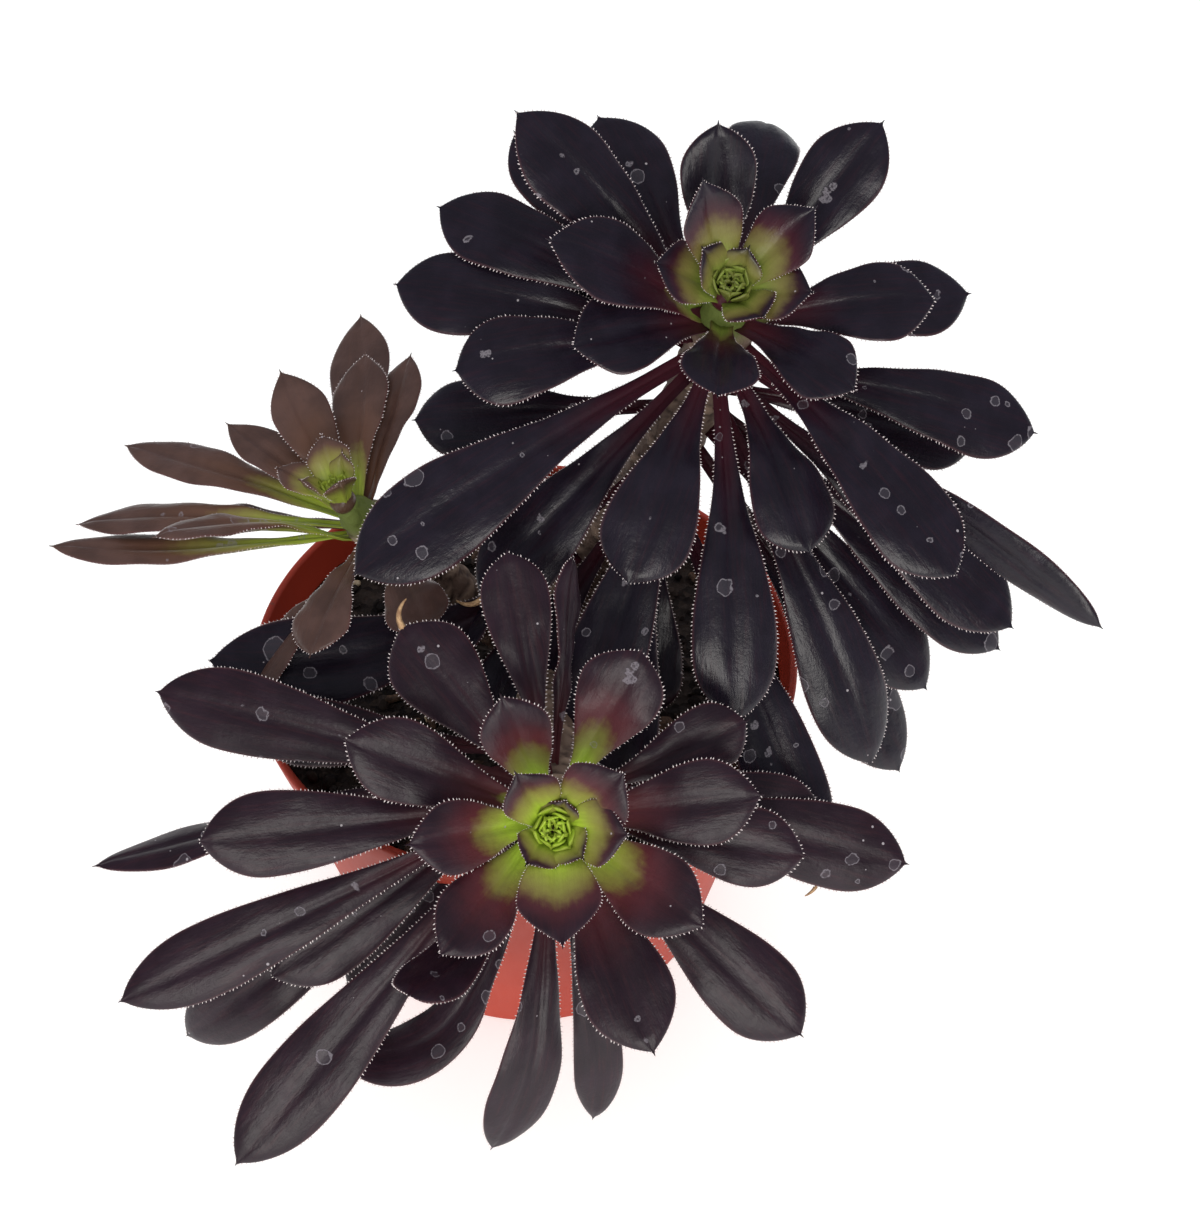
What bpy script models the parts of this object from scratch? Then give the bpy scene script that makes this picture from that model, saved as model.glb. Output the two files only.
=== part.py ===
"""Potted tree aeonium: one branching plant with three rosettes, in a round plastic pot.

Blender 4.5 script. Metres, +Z up. The pot stands on z = 0 with its axis on the world Z axis,
and -Y is the side that the front rosette leans over.
"""

from math import cos, pi, radians, sin

import bmesh
import bpy
from mathutils import Vector

MM = 0.001

# Driving dimensions
POT_RIM_RADIUS = 60 * MM
POT_BASE_RADIUS = 44.7 * MM
POT_HEIGHT = 86 * MM
WALL = 1.7 * MM
FLOOR = 2.4 * MM
LIP_ROUNDING = 0.6 * MM
FOOT_ROUNDING = 1.2 * MM
DRAIN_HOLES = 6
DRAIN_RADIUS = 4 * MM
DRAIN_CIRCLE = 27 * MM
TURN_STEPS = 64

SOIL_TOP = 77 * MM
SOIL_CROWN = 1.5 * MM
STEM_FOOT = 62 * MM
GAP = 0.35 * MM

LEAF_THICKNESS = 1.6 * MM
BUD_LEAF_THICKNESS = 1.2 * MM
LEAF_GAP = 0.4 * MM
LEAF_FOLD = 0.35
LEAF_GRID = (4, 7)
BUD_LEAF_GRID = (2, 4)
SPINE_STEPS = 24
TIP_SHARE = 0.985
LATEST_PEAK = 0.70
OLD_NECK, YOUNG_NECK = 0.30, 0.55
LAST_BUD_AGE = 6
BUD_CORE_SHARE = 0.55
BUD_RISE = 1.5 * MM

LEAF_ROUGHNESS = 0.4

RED_PLASTIC = (0.42, 0.065, 0.035)
BLACK_SOIL = (0.012, 0.009, 0.008)
BROWN_BARK = (0.16, 0.10, 0.07)
DARK_LEAF = (0.022, 0.014, 0.022)
WINE_LEAF = (0.05, 0.018, 0.026)
OLIVE_LEAF = (0.11, 0.075, 0.05)
GREEN_HEART = (0.22, 0.36, 0.05)


class Rosette:
    """A leafy head on its own branch.

    path runs from the foot of the branch to the head, in mm. The head's axis tilts from the
    vertical by tilt degrees towards the compass angle toward (0 is +X, 90 is +Y). Leaf azimuths
    turn about that axis from the +X side. pitch is the distance along the branch, in mm, from
    one leaf to the next older one.
    """

    def __init__(self, name, path, tilt, toward, branch_radius, pitch, colour):
        self.name = name
        self.path = [Vector(point) * MM for point in path]
        self.centre = self.path[-1]
        across, up = sin(radians(tilt)), cos(radians(tilt))
        turn = radians(toward)
        self.axis = Vector((across * cos(turn), across * sin(turn), up))
        right = Vector((1, 0, 0))
        self.x = (right - right.dot(self.axis) * self.axis).normalized()
        self.y = self.axis.cross(self.x)
        self.branch_radius = branch_radius * MM
        self.pitch = pitch * MM
        self.colour = colour

    def radial(self, azimuth):
        angle = radians(azimuth)
        return cos(angle) * self.x + sin(angle) * self.y

    def along(self, down):
        """The point on the branch this far down from the head, and the branch's direction there."""
        left = down
        points = self.path[::-1]
        for high, low in zip(points, points[1:]):
            run = (low - high).length
            if left <= run:
                return high.lerp(low, left / run), (high - low).normalized()
            left -= run
        return points[-1], (points[-2] - points[-1]).normalized()


TOP = Rosette(
    "top",
    [(3, 2, 62), (5, 3, 80), (12, 8, 100), (28, 17, 125), (37, 24, 145), (40, 25, 155), (40, 22, 165)],
    28, -82, 6.5, 0.6, DARK_LEAF,
)
FRONT = Rosette(
    "front",
    [(3, 0, 80), (4, -10, 90), (6, -30, 98), (7, -48, 101), (8, -57, 103), (8, -63, 108)],
    41, -86, 6.0, 0.5, WINE_LEAF,
)
LEFT = Rosette(
    "left",
    [(2, 2, 80), (-8, 3, 92), (-22, 5, 108), (-31, 5, 118), (-36, 2, 127)],
    20, 150, 5.0, 0.5, OLIVE_LEAF,
)

# Leaves from youngest to oldest. Each row holds its age, then its azimuth, its lean from the head's
# axis at the base and at the tip, in degrees, and its length and greatest width, in mm. Azimuths
# follow the golden angle, with each leaf's own deviation. The optional words: fold deepens the
# channel, side swings the tip round the axis, in degrees, and down is the distance of the base
# from the head, in mm. Missing ages are leaves left out to keep down the number of parts.
FRONT_LEAVES = [
    (7, 187, 42, 68, 27, 14, {"down": 2.8}),
    (8, 327, 47, 75, 32, 17),
    (9, 113, 45, 60, 26, 13),
    (10, 222, 45, 70, 31, 14),
    (11, 8, 66, 86, 35, 16),
    (12, 159, 67, 80, 38, 16),
    (13, 294, 60, 82, 43, 17),
    (14, 64, 60, 80, 32, 16),
    (15, 215, 71, 34, 42, 14, {"fold": 0.7, "down": 7.9}),
    (16, 351, 70, 90, 43, 17),
    (17, 130, 88, 98, 40, 17, {"down": 11.5}),
    (18, 268, 74, 125, 67, 14, {"side": -8}),
    (20, 184, 77.8, 85, 61, 15, {"down": 11.1}),
    (21, 317, 74, 95, 62, 17),
    (24, 347, 92, 92, 69, 17, {"down": 14.5}),
    (25, 163, 93, 97, 74, 17, {"down": 16.3}),
    (28, 200, 80, 90, 86, 15, {"down": 12.6}),
    (30, 215, 93, 97, 82, 16, {"down": 19.5}),
    (31, 230, 86, 94, 88, 16, {"down": 13.6, "fold": 0.2}),
    (32, 256, 91, 108, 72, 13, {"down": 16.2, "side": -34}),
    (34, 185, 92, 100, 87, 13, {"down": 23}),
]
TOP_LEAVES = [
    (7, 172, 48, 71, 36, 17),
    (8, 202, 63, 82, 29, 17, {"down": 7.6}),
    (9, 262, 50, 68, 21, 15),
    (11, 2, 65, 88, 36, 17),
    (12, 98, 41, 42, 35, 14),
    (13, 143, 60, 68, 52, 18),
    (14, 49, 52, 64, 44, 14),
    (15, 10, 85, 100, 46, 16),
    (16, 79, 84.5, 126, 54, 15),
    (17, 118, 71, 100, 47, 18, {"down": 11}),
    (20, 171, 84, 100, 60, 18, {"down": 14.4}),
    (21, 192, 78, 102, 48, 18, {"down": 13}),
    (23, 215, 83, 108, 80, 20, {"down": 17}),
    (24, 231, 93, 116, 64, 17, {"down": 22}),
    (25, 251, 78, 110, 50, 18, {"down": 14}),
    (26, 274, 86, 116, 66, 18, {"down": 18}),
    (28, 309, 68, 102, 63, 18, {"down": 11}),
    (29, 322, 91, 109, 77, 18, {"down": 20}),
    (30, 323, 79, 91, 88, 15, {"down": 15}),
    (31, 350, 82, 100, 62, 17, {"down": 16}),
    (33, 295, 92, 128, 83, 17, {"down": 25}),
    (34, 309, 100, 126, 84, 17, {"down": 36}),
    (38, 293, 94, 106, 84, 17, {"down": 45}),
    (40, 218, 80, 87, 82, 19, {"down": 69, "side": -45}),
]
LEFT_LEAVES = [
    (6, 139, 60, 67, 34, 10, {"down": 4}),
    (7, 111, 39, 44, 32, 12, {"down": 2.5}),
    (8, 79, 60, 67, 35, 13, {"down": 5}),
    (10, 90, 71, 72, 54, 14, {"down": 7}),
    (11, 154, 72, 78, 56, 13),
    (13, 173, 72, 86, 60, 12, {"down": 7.5}),
    (14, 184, 82, 66, 64, 12, {"down": 10}),
    (15, 209, 43, 75, 42, 10),
    (16, 268, 92, 112, 34, 15),
]
# The small leaves round each growing tip, grown together at their bases: azimuth, lean at the
# base and the tip, in degrees, then length and width, in mm.
FRONT_BUD = [
    (319, 25, 40, 11, 8),
    (70, 25, 40, 9, 8),
    (230, 28, 45, 11, 9),
    (0, 35, 60, 17, 12),
    (123, 32, 60, 17, 11),
    (275, 40, 60, 24, 15),
    (42, 40, 65, 20, 14),
]
TOP_BUD = [
    (62, 20, 30, 11, 9),
    (152, 20, 30, 14, 10),
    (303, 40, 50, 13, 11),
    (348, 50, 65, 17, 13),
    (175, 50, 60, 17, 13),
    (120, 30, 35, 25, 15),
    (38, 45, 55, 23, 16),
]
LEFT_BUD = [
    (60, 20, 30, 10, 7),
    (200, 25, 35, 10, 7),
    (300, 30, 40, 10, 7),
    (98, 25, 35, 14, 9),
    (157, 50, 60, 15, 9),
]


def clear_scene():
    for item in list(bpy.data.objects):
        bpy.data.objects.remove(item, do_unlink=True)


def make_collection(name, rendered=True):
    collection = bpy.data.collections.new(name)
    collection.hide_render = not rendered
    bpy.context.scene.collection.children.link(collection)
    return collection


def make_material(name, colour, roughness):
    material = bpy.data.materials.new(name)
    material.use_nodes = True
    shader = material.node_tree.nodes["Principled BSDF"]
    shader.inputs["Base Color"].default_value = (*colour, 1)
    shader.inputs["Roughness"].default_value = roughness
    shader.inputs["Metallic"].default_value = 0
    material.diffuse_color = (*colour, 1)
    return material


def add_object(name, data, collection, material):
    item = bpy.data.objects.new(name, data)
    data.materials.append(material)
    collection.objects.link(item)
    return item


def add_cutter(name, bm):
    mesh = bpy.data.meshes.new(name)
    bmesh.ops.recalc_face_normals(bm, faces=bm.faces)
    bm.to_mesh(mesh)
    bm.free()
    item = bpy.data.objects.new(name, mesh)
    item.display_type = "WIRE"
    item.hide_render = True
    CUTTERS.objects.link(item)
    return item


def boolean(target, other, operation):
    modifier = target.modifiers.new(f"{operation.lower()}_{other.name}", "BOOLEAN")
    modifier.operation = operation
    modifier.solver = "EXACT"
    modifier.object = other


def arc(centre_r, centre_z, radius, start, end, steps=3):
    """Points of an arc in the (r, z) plane, with angles in degrees."""
    angles = [radians(start + (end - start) * i / steps) for i in range(steps + 1)]
    return [(centre_r + radius * cos(a), centre_z + radius * sin(a)) for a in angles]


def turned(name, profile, material, steps=TURN_STEPS):
    """A profile of (r, z) points from the axis round to the axis, turned about Z."""
    mesh = bpy.data.meshes.new(name)
    bm = bmesh.new()
    verts = [bm.verts.new((r, 0, z)) for r, z in profile]
    for start, end in zip(verts, verts[1:]):
        bm.edges.new((start, end))
    bm.to_mesh(mesh)
    bm.free()
    item = add_object(name, mesh, PARTS, material)
    screw = item.modifiers.new("turn", "SCREW")
    screw.steps = screw.render_steps = steps
    screw.use_merge_vertices = True
    screw.merge_threshold = 1e-5
    screw.use_smooth_shade = False
    return item


def wall_radius(z):
    """The pot's outer radius at this height."""
    return POT_BASE_RADIUS + (POT_RIM_RADIUS - POT_BASE_RADIUS) * z / POT_HEIGHT


def make_pot():
    outer_lip = arc(POT_RIM_RADIUS - LIP_ROUNDING, POT_HEIGHT - LIP_ROUNDING, LIP_ROUNDING, 90, 0)
    inner_lip = arc(
        POT_RIM_RADIUS - WALL + LIP_ROUNDING, POT_HEIGHT - LIP_ROUNDING, LIP_ROUNDING, 180, 90
    )
    foot = arc(POT_BASE_RADIUS - FOOT_ROUNDING, FOOT_ROUNDING, FOOT_ROUNDING, 0, -90)
    inside = [(0, FLOOR), (wall_radius(FLOOR) - WALL, FLOOR)]
    profile = inside + inner_lip + outer_lip + foot + [(0, 0)]
    pot = turned("pot", profile, make_material("red_plastic", RED_PLASTIC, 0.5))
    bm = bmesh.new()
    for hole in range(DRAIN_HOLES):
        angle = 2 * pi * hole / DRAIN_HOLES
        made = bmesh.ops.create_cone(
            bm, cap_ends=True, segments=16, radius1=DRAIN_RADIUS, radius2=DRAIN_RADIUS, depth=4 * FLOOR
        )
        place = Vector((DRAIN_CIRCLE * cos(angle), DRAIN_CIRCLE * sin(angle), 0))
        bmesh.ops.translate(bm, verts=made["verts"], vec=place)
    boolean(pot, add_cutter("drain_holes", bm), "DIFFERENCE")
    return pot


def make_soil():
    edge = wall_radius(SOIL_TOP) - WALL - GAP
    bottom = FLOOR + GAP
    crown = [(edge * share, SOIL_TOP + SOIL_CROWN * cos(share * pi / 2)) for share in (0.35, 0.7, 1)]
    underside = [(wall_radius(bottom) - WALL - GAP, bottom), (0, bottom)]
    profile = [(0, SOIL_TOP + SOIL_CROWN)] + crown + underside
    return turned("soil", profile, make_material("potting_soil", BLACK_SOIL, 0.95), steps=48)


def branch(name, rosette, collection, extra, material):
    """A tube along a rosette's branch, wider than the bark by extra."""
    curve = bpy.data.curves.new(name + "_line", "CURVE")
    curve.dimensions = "3D"
    curve.bevel_depth = rosette.branch_radius + extra
    curve.bevel_resolution = 2
    curve.use_fill_caps = True
    spline = curve.splines.new("POLY")
    spline.points.add(len(rosette.path) - 1)
    for slot, point in zip(spline.points, rosette.path):
        slot.co = (*point, 1)
    line = bpy.data.objects.new(name + "_line", curve)
    CUTTERS.objects.link(line)
    mesh = bpy.data.meshes.new_from_object(line)
    bpy.data.objects.remove(line, do_unlink=True)
    mesh.name = name
    bm = bmesh.new()
    bm.from_mesh(mesh)
    bmesh.ops.remove_doubles(bm, verts=bm.verts, dist=1e-6)
    bmesh.ops.recalc_face_normals(bm, faces=bm.faces)
    bm.to_mesh(mesh)
    bm.free()
    mesh.materials.clear()
    return add_object(name, mesh, collection, material)


def make_stem():
    """The woody stem: one trunk with two side branches, its foot set in the soil."""
    bark = make_material("bark", BROWN_BARK, 0.8)
    stem = branch("stem", TOP, PARTS, 0, bark)
    for rosette in (FRONT, LEFT):
        side = branch(rosette.name + "_branch", rosette, CUTTERS, 0, bark)
        side.hide_render = True
        side.display_type = "WIRE"
        boolean(stem, side, "UNION")
    return stem


def cut_soil_for_stem(soil):
    """A pocket round the buried foot, a hair wider and deeper than the stem."""
    bark = bpy.data.materials["bark"]
    for rosette in (TOP, FRONT, LEFT):
        pocket = branch(rosette.name + "_pocket", rosette, CUTTERS, GAP, bark)
        pocket.hide_render = True
        pocket.display_type = "WIRE"
        if rosette is TOP:
            for vertex in pocket.data.vertices:
                if vertex.co.z < STEM_FOOT + 1 * MM:
                    vertex.co.z -= GAP
        boolean(soil, pocket, "DIFFERENCE")


class Leaf:
    """One leaf as a curved midrib with a channelled blade laid along it."""

    def __init__(self, rosette, age, azimuth, lean_base, lean_tip, length, width, options=None):
        options = options or {}
        self.rosette = rosette
        self.azimuth = azimuth
        self.lean_base, self.lean_tip = lean_base, lean_tip
        self.length = length * MM
        self.half_width = width / 2 * MM
        self.fold = options.get("fold", LEAF_FOLD)
        self.side = options.get("side", 0)
        self.down = options["down"] * MM if "down" in options else rosette.pitch * age
        self.peak = min(LATEST_PEAK, 0.50 + 0.012 * age)
        self.neck = OLD_NECK if age > LAST_BUD_AGE else YOUNG_NECK

    def start_on_branch(self):
        """The foot of the midrib, where the leaf stands just clear of the bark."""
        centre, direction = self.rosette.along(self.down)
        radial = self.rosette.radial(self.azimuth)
        out = (radial - radial.dot(direction) * direction).normalized()
        edge_rise = LEAF_THICKNESS / 2 + self.neck * self.half_width * self.fold
        rise = edge_rise * abs(cos(radians(self.lean_base)))
        return centre + out * (self.rosette.branch_radius + LEAF_GAP + rise)

    def midrib(self, start):
        """Points and directions at even steps along the midrib."""
        directions, points = [], [start]
        for step in range(SPINE_STEPS + 1):
            share = step / SPINE_STEPS
            lean = radians(self.lean_base + (self.lean_tip - self.lean_base) * share**1.3)
            radial = self.rosette.radial(self.azimuth + self.side * share**1.5)
            directions.append(cos(lean) * self.rosette.axis + sin(lean) * radial)
        for first, second in zip(directions, directions[1:]):
            points.append(points[-1] + (first + second) / 2 * (self.length / SPINE_STEPS))
        return points, directions

    def half_width_at(self, share):
        """The blade widens from a narrow neck to its peak, then rounds off to a blunt tip."""
        if share < self.peak:
            rise = share / self.peak
            swell = (rise * rise * (3 - 2 * rise)) ** 0.85
            return self.half_width * (self.neck + (1 - self.neck) * swell)
        fall = (share - self.peak) / (1 - self.peak)
        return self.half_width * max(1 - fall**2.1, 0.0) ** 0.62

    def mesh(self, name, start, grid):
        """A flat unit grid bent to the blade's middle surface."""
        bm = bmesh.new()
        bmesh.ops.create_grid(bm, x_segments=grid[0], y_segments=grid[1], size=0.5)
        points, directions = self.midrib(start)
        axis = self.rosette.axis
        for vert in bm.verts:
            across, share = 2 * vert.co.x, min(max(vert.co.y + 0.5, 0), TIP_SHARE)
            at = share * SPINE_STEPS
            low = min(int(at), SPINE_STEPS - 1)
            centre = points[low].lerp(points[low + 1], at - low)
            direction = directions[low].lerp(directions[low + 1], at - low).normalized()
            upward = (axis - axis.dot(direction) * direction).normalized()
            half = self.half_width_at(share)
            edge_rise = half * self.fold * (1 - 0.75 * share) * abs(across) ** 1.6
            vert.co = centre + half * across * direction.cross(upward) + edge_rise * upward
        mesh = bpy.data.meshes.new(name)
        bm.to_mesh(mesh)
        bm.free()
        return mesh


def thicken(item, thickness):
    solidify = item.modifiers.new("thickness", "SOLIDIFY")
    solidify.thickness = thickness
    solidify.offset = 0


def make_leaves(rosette, rows):
    material = make_material(rosette.name + "_leaf", rosette.colour, LEAF_ROUGHNESS)
    for row in rows:
        leaf = Leaf(rosette, *row)
        name = f"{rosette.name}_leaf_{row[0]:02d}"
        mesh = leaf.mesh(name, leaf.start_on_branch(), LEAF_GRID)
        thicken(add_object(name, mesh, PARTS, material), LEAF_THICKNESS)


def make_bud(rosette, rows):
    """The growing tip: a small dome with the youngest leaves grown into it."""
    material = make_material(rosette.name + "_bud", GREEN_HEART, LEAF_ROUGHNESS)
    core_radius = BUD_CORE_SHARE * rosette.branch_radius
    seat = rosette.centre + rosette.axis * (core_radius + BUD_RISE)
    mesh = bpy.data.meshes.new(rosette.name + "_bud")
    bm = bmesh.new()
    bmesh.ops.create_uvsphere(bm, u_segments=12, v_segments=8, radius=core_radius)
    bmesh.ops.translate(bm, verts=bm.verts, vec=seat)
    bm.to_mesh(mesh)
    bm.free()
    bud = add_object(rosette.name + "_bud", mesh, PARTS, material)
    for age, row in enumerate(rows):
        leaf = Leaf(rosette, age, *row)
        name = f"{rosette.name}_bud_leaf_{age}"
        start = seat + rosette.radial(leaf.azimuth) * core_radius / 2
        item = bpy.data.objects.new(name, leaf.mesh(name, start, BUD_LEAF_GRID))
        item.hide_render = True
        item.display_type = "WIRE"
        CUTTERS.objects.link(item)
        thicken(item, BUD_LEAF_THICKNESS)
        boolean(bud, item, "UNION")


clear_scene()
PARTS = make_collection("potted_aeonium")
CUTTERS = make_collection("cutters", rendered=False)
make_pot()
soil = make_soil()
make_stem()
cut_soil_for_stem(soil)
make_leaves(TOP, TOP_LEAVES)
make_leaves(FRONT, FRONT_LEAVES)
make_leaves(LEFT, LEFT_LEAVES)
make_bud(TOP, TOP_BUD)
make_bud(FRONT, FRONT_BUD)
make_bud(LEFT, LEFT_BUD)
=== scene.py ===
"""The potted aeonium's looks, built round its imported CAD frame. Metres, +Z up.

Every leaf is grown again here as a fine mesh, with a thin ciliate margin and a short point, on or
near the midrib of its CAD solid. The leaves past the CAD model's part count are added too.
"""

from math import cos, pi, radians, sin

import bmesh
import bpy
import numpy as np
from mathutils import Matrix, Vector, noise


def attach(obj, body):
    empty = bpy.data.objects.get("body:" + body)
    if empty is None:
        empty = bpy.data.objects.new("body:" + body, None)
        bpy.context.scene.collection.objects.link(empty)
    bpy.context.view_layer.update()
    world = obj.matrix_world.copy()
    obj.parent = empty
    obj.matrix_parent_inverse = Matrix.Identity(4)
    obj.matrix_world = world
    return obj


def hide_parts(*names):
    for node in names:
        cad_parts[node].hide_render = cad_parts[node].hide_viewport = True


MM = 0.001
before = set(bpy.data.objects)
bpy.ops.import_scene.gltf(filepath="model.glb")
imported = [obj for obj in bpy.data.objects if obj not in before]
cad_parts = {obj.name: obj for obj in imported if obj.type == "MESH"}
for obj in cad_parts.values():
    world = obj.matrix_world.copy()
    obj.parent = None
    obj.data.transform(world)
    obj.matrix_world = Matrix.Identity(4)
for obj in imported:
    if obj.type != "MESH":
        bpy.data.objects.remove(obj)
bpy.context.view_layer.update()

# Driving dimensions, as in the CAD model
POT_RIM_RADIUS, POT_BASE_RADIUS, POT_HEIGHT = 60 * MM, 44.7 * MM, 86 * MM
WALL, FLOOR = 1.7 * MM, 2.4 * MM
DRAIN_HOLES, DRAIN_RADIUS, DRAIN_CIRCLE = 6, 4 * MM, 27 * MM
SOIL_TOP = 77 * MM
LEAF_THICKNESS = 1.5 * MM

# Leaf mesh: its grid, the hairs on its margins, the point at its end and the strip of a dried tip
ACROSS, ALONG = 20, 60
CILIA_SPACING, CILIA_LENGTH, CILIA_RADIUS = 0.80 * MM, 0.55 * MM, 0.12 * MM
POINT_LENGTH, POINT_HALF_WIDTH = 1.5 * MM, 0.55 * MM
DRY_STEPS, DRY_LENGTH, DRY_CURL = 12, 6 * MM, 1.5
OLDEST_YOUNG_LEAF = 6
GOLDEN_ANGLE = 137.5
HEART_LEAVES, HEART_LEAF_THICKNESS = 12, 0.7 * MM

# Branches: they narrow just below the growing tip, are green there, and carry spiralled leaf scars
TIP_TAPER, GREEN_WOOD = 8 * MM, 9 * MM
BRANCH_ROW, BRANCH_AROUND, BRANCH_SMOOTHING = 0.6 * MM, 48, 9
SCAR_PITCH, SCAR_HALF_WIDTH, SCAR_HALF_HEIGHT = 1.15, 4.4, 1.25

# Pot and soil
LIP_RADIUS, HEEL_RADIUS, STEP_DOWN, STEP_DEPTH = 0.8 * MM, 1.6 * MM, 9 * MM, 0.25 * MM
POT_STEPS, CREASE_ANGLE = 180, 35
SOIL_RINGS, SOIL_SPOKES, SOIL_CROWN = 70, 220, 1.4 * MM

# Camera: over the front rosette, from the photograph's viewing angle
CAMERA_PLACE = (0.0163, -0.2473, 0.3692)
CAMERA_DOWN, CAMERA_ROLL, CAMERA_LENS, CAMERA_SENSOR = 47.57, 0.78, 51.0, 36.0

# Studio: a dim bluish surround, an even sky and one warm softbox low in front
WORLD_COLOUR, WORLD_STRENGTH = (0.78, 0.84, 1.0, 1), 0.22
SKY_STRENGTH, SKY_SPREAD = 2.5, 170
LAMP_TARGET, LAMP_DISTANCE = (0.0, -0.02, 0.1), 1.0
LAMP_AZIMUTH, LAMP_ELEVATION, LAMP_SIZE = -88, 21, (0.50, 0.40)
LAMP_RADIANCE, LAMP_COLOUR = 8.0, (1.0, 0.97, 0.92)
FLOOR_HALF_SIZE = 4.0

# Linear colours that several leaf materials share
STRAW = (0.25, 0.21, 0.06)
RIM = (0.11, 0.035, 0.040)
MARK_INSIDE, MARK_LINE, SPECK = (0.22, 0.20, 0.23), (0.30, 0.27, 0.30), (0.42, 0.38, 0.40)


def srgb(red, green, blue):
    """A display colour from 0 to 255 as linear light."""
    shares = (channel / 255 for channel in (red, green, blue))
    return tuple(c / 12.92 if c <= 0.04045 else ((c + 0.055) / 1.055) ** 2.4 for c in shares)


# ------------ the plant's plan


def unit(vectors):
    return vectors / np.maximum(np.linalg.norm(vectors, axis=-1, keepdims=True), 1e-12)


class Rosette:
    """A leafy head on its own branch: see the CAD model. Branch points are in mm."""

    def __init__(self, name, path, tilt, toward, branch_radius, pitch):
        self.name = name
        self.path = np.array(path, float) * MM
        across, up, turn = sin(radians(tilt)), cos(radians(tilt)), radians(toward)
        self.axis = np.array((across * cos(turn), across * sin(turn), up))
        self.x = unit(np.array((1.0, 0, 0)) - self.axis[0] * self.axis)
        self.y = np.cross(self.axis, self.x)
        self.branch_radius = branch_radius * MM
        self.pitch = pitch * MM

    def radial(self, azimuth):
        """Unit vectors square to the axis at these azimuths, in degrees."""
        angle = np.radians(np.asarray(azimuth, float))[..., None]
        return np.cos(angle) * self.x + np.sin(angle) * self.y

    def radius_at(self, down):
        """The branch narrows to half its radius over the last stretch below the growing tip."""
        return self.branch_radius * (1 - 0.5 * min(max(1 - down / TIP_TAPER, 0), 1))

    def along(self, down):
        """The point this far down the branch from the head, and the branch's direction there."""
        points = self.path[::-1]
        for high, low in zip(points, points[1:]):
            run = np.linalg.norm(low - high)
            if down <= run:
                return high + (low - high) * down / run, unit(high - low)
            down -= run
        return points[-1], unit(points[-2] - points[-1])


TOP = Rosette(
    "top",
    [(3, 2, 62), (5, 3, 80), (12, 8, 100), (28, 17, 125), (37, 24, 145), (40, 25, 155), (40, 22, 165)],
    tilt=28, toward=-82, branch_radius=6.5, pitch=0.6,
)
FRONT = Rosette(
    "front",
    [(3, 0, 80), (4, -10, 90), (6, -30, 98), (7, -48, 101), (8, -57, 103), (8, -63, 108)],
    tilt=41, toward=-86, branch_radius=6.0, pitch=0.5,
)
LEFT = Rosette(
    "left",
    [(2, 2, 80), (-8, 3, 92), (-22, 5, 108), (-31, 5, 118), (-36, 2, 127)],
    tilt=20, toward=150, branch_radius=5.0, pitch=0.5,
)

# Each leaf's age, azimuth, lean at the base and at the tip in degrees, then length and greatest
# width in mm. Most are as in the CAD model, a few are turned or slimmer, and the last rows of each
# list are only here. The optional words: fold deepens the channel, side swings the tip round the
# axis, down sets the base's distance from the head in mm, twist turns the blade about its midrib
# towards the tip, hook bends the last third (up if negative), swing turns it sideways, wave is the
# margin's ripple in mm, point is how pointed the end is, neck the foot's share of the width, green
# how far the green reaches up the blade, worn how marked the skin is, and dry adds a dried tip.
FRONT_LEAVES = [
    (7, 187, 42, 68, 27, 13.5, dict(green=0.44)),
    (8, 327, 47, 75, 32, 15.5, dict(green=0.46)),
    (9, 113, 45, 60, 26, 13, dict(green=0.48)),
    (10, 229, 45, 70, 31, 14, dict(green=0.44)),
    (11, 8, 66, 86, 35, 16, dict(green=0.14)),
    (12, 159, 67, 80, 38, 15.5, dict(green=0.08)),
    (13, 294, 60, 82, 43, 17, dict(green=0.18)),
    (14, 64, 60, 80, 32, 16, dict(green=0.42)),
    (15, 250, 84, 10, 50, 14, dict(fold=1.0, down=9.5, side=-70, twist=60)),
    (16, 351, 70, 90, 43, 15),
    (17, 130, 88, 98, 40, 17, dict(down=11.5, dry=True)),
    (18, 268, 74, 125, 67, 13, dict(side=-8, twist=-25, swing=-25)),
    (20, 186, 77.8, 85, 61, 16, dict(down=11.1)),
    (21, 317, 74, 95, 60, 17, dict(worn=0.1)),
    (24, 347, 93, 93, 68, 17, dict(down=17)),
    (25, 167, 93, 97, 74, 16, dict(down=16.3, worn=0.8)),
    (28, 206, 82, 91, 84, 14, dict(down=12.6, worn=0.3, neck=0.13)),
    (30, 218, 93, 99, 90, 15, dict(down=19.5, worn=0.6, point=0.1, hook=40)),
    (31, 231, 86, 94, 88, 16, dict(down=13.6, fold=0.2, worn=0.15)),
    (32, 256, 91, 108, 74, 12, dict(down=16.2, worn=0.9, side=-34, swing=-75, twist=30)),
    (34, 194, 92, 100, 87, 12, dict(down=23, hook=-25, twist=60)),
    (19, 25, 78, 90, 35, 13, dict(down=11)),
    (22, 101, 80, 92, 43, 13, dict(down=14)),
    (23, 216, 85, 92, 60, 16, dict(down=16.5)),
    (26, 281, 90, 130, 74, 10, dict(down=17.5, swing=-20)),
    (27, 86, 88, 95, 40, 9, dict(down=17, twist=60)),
    (29, 352, 92, 97, 50, 13, dict(down=19)),
    (35, 176, 95, 103, 56, 14, dict(down=26)),
    (36, 233, 97, 112, 62, 14, dict(down=25)),
]
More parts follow.
